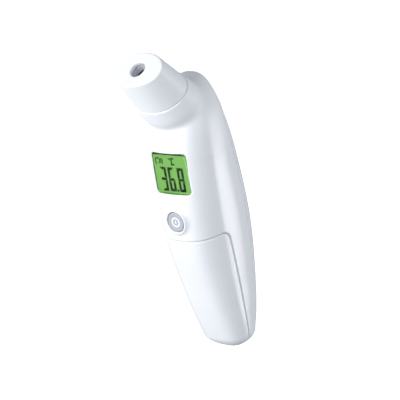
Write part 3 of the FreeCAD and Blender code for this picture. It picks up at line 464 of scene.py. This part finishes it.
WHITE_SHELL = textured("white_abs", (0.80, 0.815, 0.84), (0.83, 0.845, 0.865), (0.2, 0.26), grain=2500,
                       bump=0.05, Specular_IOR_Level=0.6)

SATIN_FROM, SATIN_TO, SATIN_ROUGHNESS = 96, 132, 0.85
satin_above(WHITE_SHELL, SATIN_FROM, SATIN_TO, SATIN_ROUGHNESS)
FUNNEL_GREY = textured("funnel_grey", (0.55, 0.56, 0.62), (0.62, 0.63, 0.68), (0.25, 0.35))
SENSOR_DARK = textured("sensor_window_dark", (0.004, 0.004, 0.006), (0.008, 0.008, 0.012),
                       (0.05, 0.12), bump=0.0)
BUTTON_GREY = textured("button_grey", (0.37, 0.39, 0.44), (0.44, 0.46, 0.51),
                       (0.35, 0.5), grain=3000, bump=0.15)
BUTTON_WHITE = textured("button_print_white", (0.82, 0.83, 0.85), (0.88, 0.89, 0.9), (0.35, 0.45))
FRAME_DARK = textured("frame_dark", (0.015, 0.03, 0.015), (0.03, 0.05, 0.03), (0.5, 0.65))
BOARD_GREEN = textured("board_green", (0.01, 0.11, 0.04), (0.02, 0.17, 0.06),
                       (0.3, 0.45), grain=1500, bump=0.2)
CHIP_BLACK = textured("chip_black", (0.012, 0.012, 0.014), (0.03, 0.03, 0.033),
                      (0.45, 0.65), grain=4000, bump=0.3)
STEEL = textured("steel", (0.45, 0.45, 0.46), (0.6, 0.6, 0.6), (0.22, 0.4), metallic=1.0, bump=0.1)
NICKEL = textured("nickel", (0.55, 0.53, 0.5), (0.7, 0.68, 0.64), (0.2, 0.35), metallic=1.0, bump=0.1)
ALUMINIUM = textured("aluminium", (0.65, 0.66, 0.67), (0.78, 0.78, 0.79),
                     (0.3, 0.45), metallic=1.0, bump=0.2)
NYLON = textured("nylon_white", (0.72, 0.70, 0.64), (0.8, 0.78, 0.72), (0.35, 0.5))
BLACK_RUBBER = textured("black_rubber", (0.01, 0.01, 0.01), (0.025, 0.025, 0.025), (0.6, 0.8), bump=0.3)
PINK_RUBBER = textured("strip_rubber", (0.55, 0.25, 0.3), (0.65, 0.33, 0.36), (0.5, 0.7), bump=0.2)
GREY_JACKET = textured("grey_jacket", (0.14, 0.14, 0.15), (0.2, 0.2, 0.21), (0.45, 0.6), bump=0.2)
RED_JACKET = textured("red_jacket", (0.4, 0.01, 0.01), (0.55, 0.02, 0.02), (0.35, 0.5))
BLACK_JACKET = textured("black_jacket", (0.01, 0.01, 0.01), (0.02, 0.02, 0.02), (0.35, 0.5))
LAMP_RESIN = textured("lamp_resin", (0.8, 0.75, 0.4), (0.9, 0.85, 0.5), (0.1, 0.2))
CELL_SLEEVE = textured("cell_sleeve", (0.02, 0.05, 0.12), (0.03, 0.08, 0.17), (0.2, 0.35), patches=40)


def clear_pane():
    item, nodes, links, shader = material("clear_pane")
    shader.inputs["Base Color"].default_value = (1, 1, 1, 1)
    shader.inputs["Transmission Weight"].default_value = 1.0
    shader.inputs["IOR"].default_value = 1.12
    noise = nodes.new("ShaderNodeTexNoise")
    noise.inputs["Scale"].default_value = 300.0
    rough = nodes.new("ShaderNodeMapRange")
    rough.inputs["To Min"].default_value = 0.0
    rough.inputs["To Max"].default_value = 0.02
    links.new(noise.outputs["Fac"], rough.inputs["Value"])
    links.new(rough.outputs["Result"], shader.inputs["Roughness"])
    return item


def lit_green():
    """The lit display: an even green light with a faint slow grain."""
    item, nodes, links, shader = material("display_green")
    place = nodes.new("ShaderNodeTexCoord")
    noise = nodes.new("ShaderNodeTexNoise")
    noise.inputs["Scale"].default_value = 140.0
    noise.inputs["Detail"].default_value = 2.0
    colours = nodes.new("ShaderNodeValToRGB")
    colours.color_ramp.elements[0].color = (0.18, 0.46, 0.09, 1)
    colours.color_ramp.elements[1].color = (0.215, 0.51, 0.11, 1)
    links.new(place.outputs["Object"], noise.inputs["Vector"])
    links.new(noise.outputs["Fac"], colours.inputs["Fac"])
    links.new(colours.outputs["Color"], shader.inputs["Emission Color"])
    shader.inputs["Base Color"].default_value = (0.01, 0.03, 0.006, 1)
    shader.inputs["Specular IOR Level"].default_value = 0.1
    shader.inputs["Emission Strength"].default_value = 0.95
    shader.inputs["Roughness"].default_value = 0.7
    return item


CLEAR_PANE = clear_pane()
DISPLAY_GREEN = lit_green()
# Dark print of the display's segments and signs. The same dark colour also paints the shadow line along
# the display's left and top edges.
PRINT_AND_SHADOW_INK = textured(
    "segment_ink_and_painted_shadow", (0.003, 0.012, 0.003), (0.006, 0.02, 0.005), (0.8, 0.9), Specular_IOR_Level=0.1
)

# ---------------------------------------------------------------- casings

head_top = BODY_HEIGHT + 8
moulding("housing_front_shell", front_housing_field, (-19, -21, 0), (19, 21, head_top), 0.5,
         "front_housing", "casing", WHITE_SHELL)
moulding("housing_rear_shell", rear_cover_field, (-19, 9, 0), (19, 29, BODY_HEIGHT), 0.5,
         "rear_cover", "casing", WHITE_SHELL)
moulding("battery_door_shell", battery_cover_field, (-18, -15, 0), (18, 11, 66), 0.5,
         "battery_cover", "cover", WHITE_SHELL)
moulding("nose_cap_shell", nose_cap_field, (-17, -29, 124), (17, 4, 157), 0.4,
         "nose_cap", "casing", WHITE_SHELL)
moulding("display_pane", display_window_field, (-11, -14.5, 86), (11, -10, 107), 0.3,
         "display_window", "casing", CLEAR_PANE)


# ---------------------------------------------------------------- turned pieces

def lathe(name, profile, place, segments=96):
    """A closed solid turned about its local Z, from (radius, height) corners in millimetres."""
    points, faces = [], []
    count = len(profile)
    for step in range(segments):
        turn = 2 * math.pi * step / segments
        points += [place @ Vector((r * math.cos(turn), r * math.sin(turn), h)) for r, h in profile]
    for step in range(segments):
        here, ahead = step * count, (step + 1) % segments * count
        for i in range(count):
            j = (i + 1) % count
            faces.append((here + i, ahead + i, ahead + j, here + j))
    piece = mesh_object(name, points, faces)
    grid = bmesh.new()
    grid.from_mesh(piece.data)
    bmesh.ops.remove_doubles(grid, verts=grid.verts, dist=1e-7)
    bmesh.ops.recalc_face_normals(grid, faces=grid.faces)
    grid.to_mesh(piece.data)
    grid.free()
    piece.data.set_sharp_from_angle(angle=math.radians(40))
    return piece


def rounded_corner(centre, radius, start, end, steps=5):
    """Points of an arc, for a profile."""
    return [
        (centre[0] + radius * math.cos(math.radians(start + (end - start) * i / steps)),
         centre[1] + radius * math.sin(math.radians(start + (end - start) * i / steps)))
        for i in range(steps + 1)
    ]


TO_FRONT = Matrix.Translation((0, BUTTON_FACE_Y, BUTTON_Z)) @ Matrix.Rotation(math.radians(90), 4, "X")


def finish_piece(piece, surface, slot, body, *nodes):
    piece.data.materials.append(surface)
    if nodes:
        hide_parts(*nodes)
    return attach(piece, body)


def power_button():
    """Grey cap with a rounded rim, a shallow dished face, and its flange and stem inside."""
    stem_depth, flange_back, flange_front = 6.1, 4.25, 3.45
    profile = [
        (0.0, -stem_depth), (1.5, -stem_depth), (1.5, -flange_back),
        (BUTTON_RADIUS + 1.2, -flange_back), (BUTTON_RADIUS + 1.2, -flange_front),
        (BUTTON_RADIUS, -flange_front),
        *rounded_corner((BUTTON_RADIUS - 0.6, -0.6), 0.6, 0, 90),
        (BUTTON_RADIUS - 1.0, -0.02), (BUTTON_RADIUS - 1.5, -0.12),
        (BUTTON_RADIUS - 2.0, -0.14), (0.0, -0.14),
    ]
    cap = lathe("power_button_cap", profile, TO_FRONT)
    return finish_piece(cap, BUTTON_GREY, "grey_button", "button", "power_button")


def ring_mark(name, inner, outer, base, top):
    profile = [(inner, base), (outer, base), (outer, top), (inner, top)]
    return finish_piece(lathe(name, profile, TO_FRONT, 64), BUTTON_WHITE, "grey_button", "button")


def bar_mark(name, width, height, base, top):
    """An upright rounded bar, the stroke of the power sign."""
    outline_points = []
    for centre_y, start in ((height / 2 - width / 2, 0), (-height / 2 + width / 2, 180)):
        for step in range(9):
            turn = math.radians(start + 180 * step / 8)
            across, along = width / 2 * math.cos(turn), width / 2 * math.sin(turn)
            outline_points.append((across, centre_y + along))
    count = len(outline_points)
    points = [TO_FRONT @ Vector((a, b, level)) for level in (base, top) for a, b in outline_points]
    faces = [tuple(range(count - 1, -1, -1)), tuple(range(count, 2 * count))]
    faces += [(i, (i + 1) % count, count + (i + 1) % count, count + i) for i in range(count)]
    piece = mesh_object(name, points, faces, smooth=False)
    return finish_piece(piece, BUTTON_WHITE, "grey_button", "button")


power_button()
MARK_BASE, MARK_TOP = -0.2, -0.08
MARK_INNER, MARK_OUTER = 1.75, 2.5
MARK_BAR_WIDTH, MARK_BAR_HEIGHT = 0.6, 1.9
ring_mark("power_mark_ring", MARK_INNER, MARK_OUTER, MARK_BASE, MARK_TOP)
bar_mark("power_mark_bar", MARK_BAR_WIDTH, MARK_BAR_HEIGHT, MARK_BASE, MARK_TOP)

# ---------------------------------------------------------------- display

_, glass_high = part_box("lcd_glass")
DISPLAY_Y = WINDOW_BACK_Y + 0.12
MARKS_Y = DISPLAY_Y - 0.05
MARKS_THICKNESS = 0.04


def display_panel():
    """The glass with its lit face, a thin block with softened corners."""
    reach_x, reach_z = WINDOW_HALF[0] - 0.1, WINDOW_HALF[1] - 0.1
    rim = []
    for side_x, side_z, start in ((1, 1, 0), (-1, 1, 90), (-1, -1, 180), (1, -1, 270)):
        centre = (side_x * (reach_x - WINDOW_CORNER), WINDOW_Z + side_z * (reach_z - WINDOW_CORNER))
        rim += rounded_corner(centre, WINDOW_CORNER, start, start + 90)
    count = len(rim)
    points = [(x, y, z) for y in (DISPLAY_Y, glass_high.y / MM) for x, z in rim]
    faces = [tuple(range(count)), tuple(range(2 * count - 1, count - 1, -1))]
    faces += [(i, count + i, count + (i + 1) % count, (i + 1) % count) for i in range(count)]
    return finish_piece(mesh_object("display_glass_lit", points, faces, smooth=False),
                        DISPLAY_GREEN, "display_glass", "casing", "lcd_glass")


def print_and_shadow_marks(name, shapes):
    """Flat dark shapes on the display, each an outline of (x, z) corners, as one piece: the printed
    segments and signs, and also the painted shadow line along the display's edges.
    """
    points, faces = [], []
    for shape in shapes:
        area = sum(a[0] * b[1] - b[0] * a[1] for a, b in zip(shape, shape[1:] + shape[:1]))
        shape = shape if area > 0 else shape[::-1]
        first, count = len(points), len(shape)
        points += [(x, MARKS_Y, z) for x, z in shape] + [(x, MARKS_Y + MARKS_THICKNESS, z) for x, z in shape]
        faces.append(tuple(first + i for i in range(count)))
        faces.append(tuple(first + count + i for i in range(count - 1, -1, -1)))
        faces += [
            (first + i, first + count + i, first + count + (i + 1) % count, first + (i + 1) % count)
            for i in range(count)
        ]
    piece = mesh_object(name, points, faces, smooth=False)
    return finish_piece(piece, PRINT_AND_SHADOW_INK, "display_glass", "casing")


DIGIT_WIDTH, DIGIT_HEIGHT, STROKE = 3.8, 11.9, 1.35
SEGMENTS = {"3": "abgcd", "6": "afgedc", "8": "abcdefg"}


def segment_outlines(digit, left, bottom):
    """The lit bars of one seven-segment digit, with pointed ends and small gaps."""
    w, h, t, gap = DIGIT_WIDTH, DIGIT_HEIGHT, STROKE, 0.12
    middle = bottom + h / 2

    def flat(z, trim_low, trim_high):
        return [(left + gap + trim_low, z), (left + w - gap - trim_low, z),
                (left + w - gap - trim_high, z + t), (left + gap + trim_high, z + t)]

    def upright(x, low, high, inner_side):
        lean = t * 0.8
        inner, outer = (x + t, x) if inner_side > 0 else (x, x + t)
        return [(outer, low + gap), (outer, high - gap),
                (inner, high - gap - lean), (inner, low + gap + lean)]

    bars = {
        "a": flat(bottom + h - t, t, 0), "d": flat(bottom, 0, t),
        "g": [(left + gap + t / 2, middle - t / 2), (left + w - gap - t / 2, middle - t / 2),
              (left + w - gap, middle), (left + w - gap - t / 2, middle + t / 2),
              (left + gap + t / 2, middle + t / 2), (left + gap, middle)],
        "f": upright(left, middle, bottom + h, 1), "e": upright(left, bottom, middle, 1),
        "b": upright(left + w - t, middle, bottom + h, -1), "c": upright(left + w - t, bottom, middle, -1),
    }
    return [bars[key] for key in SEGMENTS[digit]]


def disc(x, z, radius, steps=16):
    turns = [2 * math.pi * i / steps for i in range(steps)]
    return [(x + radius * math.cos(turn), z + radius * math.sin(turn)) for turn in turns]


def stroke_path(points, width):
    """Short bars that follow a path, each a separate outline."""
    bars = []
    for (ax, az), (bx, bz) in zip(points, points[1:]):
        run = math.hypot(bx - ax, bz - az)
        nx, nz = -(bz - az) / run * width / 2, (bx - ax) / run * width / 2
        bars.append([(ax + nx, az + nz), (bx + nx, bz + nz), (bx - nx, bz - nz), (ax - nx, az - nz)])
    return bars


def arc_points(cx, cz, radius, start, end, steps=8):
    return rounded_corner((cx, cz), radius, start, end, steps)


digit_bottom = WINDOW_Z - WINDOW_HALF[1] + 1.0
digit_lefts = (-6.7, -1.9, 3.7)
display_panel()
digits = []
for digit, left in zip("368", digit_lefts):
    digits += segment_outlines(digit, left, digit_bottom)
digits.append(disc(digit_lefts[2] - 0.95, digit_bottom + 0.6, 0.6))
print_and_shadow_marks("display_digits", digits)

# Painted shadow: a thin dark line along the left and top edges of the display, standing in for the shade
# cast by the wall of the window opening.
SHADOW_LINE_WIDTH = 0.7
TOP_DROP = 0.3              # the line sits this much lower, clear of the top edge of the opening
shadow_line_x, shadow_line_z = WINDOW_HALF[0] - 0.1 - SHADOW_LINE_WIDTH / 2, WINDOW_HALF[1] - 0.1 - SHADOW_LINE_WIDTH / 2
bend = WINDOW_CORNER - SHADOW_LINE_WIDTH / 2
shadow_line_path = arc_points(bend - shadow_line_x, WINDOW_Z - shadow_line_z + bend, bend, 225, 180, 4)
shadow_line_path += arc_points(bend - shadow_line_x, WINDOW_Z + shadow_line_z - bend - TOP_DROP, bend, 180, 90, 6)
shadow_line_path += arc_points(shadow_line_x - bend, WINDOW_Z + shadow_line_z - bend - TOP_DROP, bend, 90, 45, 3)
print_and_shadow_marks("display_painted_shadow_line", stroke_path(shadow_line_path, SHADOW_LINE_WIDTH))

unit_left, unit_low = 1.0, WINDOW_Z + 4.0
unit_width, unit_height, unit_stroke = 2.0, 3.7, 0.75
unit = [
    [(unit_left, unit_low), (unit_left + unit_stroke, unit_low),
     (unit_left + unit_stroke, unit_low + unit_height), (unit_left, unit_low + unit_height)],
]
for level in (unit_low, unit_low + unit_height - unit_stroke):
    bar_left, bar_right = unit_left + unit_stroke + 0.05, unit_left + unit_width
    unit.append([(bar_left, level), (bar_right, level),
                 (bar_right, level + unit_stroke), (bar_left, level + unit_stroke)])
unit += stroke_path(arc_points(unit_left - 0.9, unit_low + unit_height - 0.6, 0.42, 0, 360, 8), 0.35)
print_and_shadow_marks("display_unit_sign", unit)

sign_x, sign_z = -7.1, WINDOW_Z + 5.8
sign = stroke_path(arc_points(sign_x, sign_z, 1.45, -60, 240, 12), 0.6)
sign += stroke_path([(sign_x - 0.7, sign_z - 1.2), (sign_x - 0.8, sign_z - 2.0)], 0.5)
for reach in (2.2, 3.0):
    sign += stroke_path(arc_points(sign_x, sign_z, reach, -32, 32, 5), 0.45)
print_and_shadow_marks("display_reading_sign", sign)

# ---------------------------------------------------------------- carried-over CAD nodes

CAD_FINISH = {
    "nose_seal": BLACK_RUBBER, "sensor_funnel": FUNNEL_GREY, "sensor_window": SENSOR_DARK,
    "thermopile": STEEL, "sensor_holder": ALUMINIUM, "sensor_board": BOARD_GREEN,
    "sensor_screws": STEEL, "sensor_cable": GREY_JACKET, "lcd_frame": FRAME_DARK,
    "lcd_backlight": NYLON, "lcd_contact_strips": PINK_RUBBER, "backlight_lamps": LAMP_RESIN,
    "main_board": BOARD_GREEN, "board_screws": STEEL, "microcontroller": CHIP_BLACK,
    "small_components": CHIP_BLACK, "sensor_socket": NYLON, "buzzer": CHIP_BLACK,
    "power_switch": CHIP_BLACK, "switch_plunger": NYLON, "battery_tray": WHITE_SHELL,
    "case_screws": STEEL, "battery_left": CELL_SLEEVE, "battery_right": CELL_SLEEVE,
    "contact_springs": NICKEL, "contact_plates": NICKEL,
    "battery_wire_red": RED_JACKET, "battery_wire_black": BLACK_JACKET,
}
for node, surface in CAD_FINISH.items():
    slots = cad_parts[node].material_slots
    for material_slot in slots:
        material_slot.material = surface

# ---------------------------------------------------------------- camera, light and floor

AZIMUTH, ELEVATION, ROLL = math.radians(42.8), math.radians(18.42), math.radians(-10.13)
AIM = Vector((-0.6, 5.5, 76.9)) * MM
DISTANCE = 832 * MM


def view_axes(azimuth, elevation, roll):
    """Right, up and towards-the-camera directions of a view."""
    towards = Vector((math.sin(azimuth) * math.cos(elevation), -math.cos(azimuth) * math.cos(elevation),
                      math.sin(elevation)))
    level = Vector((math.cos(azimuth), math.sin(azimuth), 0))
    upright = towards.cross(level)
    right = level * math.cos(roll) + upright * math.sin(roll)
    return right, towards.cross(right), towards


RIGHT, UP, TOWARDS = view_axes(AZIMUTH, ELEVATION, ROLL)


def add_camera():
    camera = bpy.data.objects.new("camera", bpy.data.cameras.new("camera"))
    bpy.context.scene.collection.objects.link(camera)
    camera.data.sensor_width = 36
    camera.data.lens = 157
    camera.data.clip_end = 100
    turn = Matrix((RIGHT, UP, TOWARDS)).transposed().to_4x4()
    camera.matrix_world = Matrix.Translation(AIM + TOWARDS * DISTANCE) @ turn
    bpy.context.scene.camera = camera


def add_softbox(name, azimuth, elevation, power, width=0.45, height=0.45, distance=0.9):
    """A rectangular light that faces the object, placed like a camera by its angles in degrees."""
    light = bpy.data.objects.new(name, bpy.data.lights.new(name, "AREA"))
    bpy.context.scene.collection.objects.link(light)
    light.data.shape = "RECTANGLE"
    light.data.size = width
    light.data.size_y = height
    light.data.energy = power
    _, _, towards = view_axes(math.radians(azimuth), math.radians(elevation), 0)
    light.location = AIM + towards * distance
    light.rotation_euler = towards.to_track_quat("Z", "Y").to_euler()


def add_floor():
    """A wide pale floor below the thermometer, bright enough to read as plain white."""
    floor_z, half = -0.11, 40.0
    corners = [(-half, -half), (half, -half), (half, half), (-half, half)]
    points = [(x / MM, y / MM, floor_z / MM) for x, y in corners]
    floor = mesh_object("pale_floor", points, [(0, 1, 2, 3)], False)
    item, _, _, shader = material("pale_floor")
    shader.inputs["Base Color"].default_value = (0.9, 0.9, 0.9, 1)
    shader.inputs["Emission Color"].default_value = (1, 1, 1, 1)
    shader.inputs["Emission Strength"].default_value = 0.75
    shader.inputs["Roughness"].default_value = 0.9
    floor.data.materials.append(item)
    floor.visible_diffuse = False
    floor.visible_glossy = False


def add_world():
    world = bpy.data.worlds.new("studio")
    bpy.context.scene.world = world
    world.use_nodes = True
    background = world.node_tree.nodes["Background"]
    background.inputs["Color"].default_value = (0.86, 0.91, 1.0, 1)
    background.inputs["Strength"].default_value = 0.42


add_camera()
add_world()
add_floor()
add_softbox("front_key", -15, 15, 5.7)
add_softbox("left_fill", -45, 15, 3.9)
add_softbox("side_strip", 130, -18, 5.6, width=0.30, height=0.6)
add_softbox("right_fill", 75, 15, 1.8)
bpy.context.scene.view_settings.view_transform = "Standard"
bpy.context.scene.view_settings.look = "None"
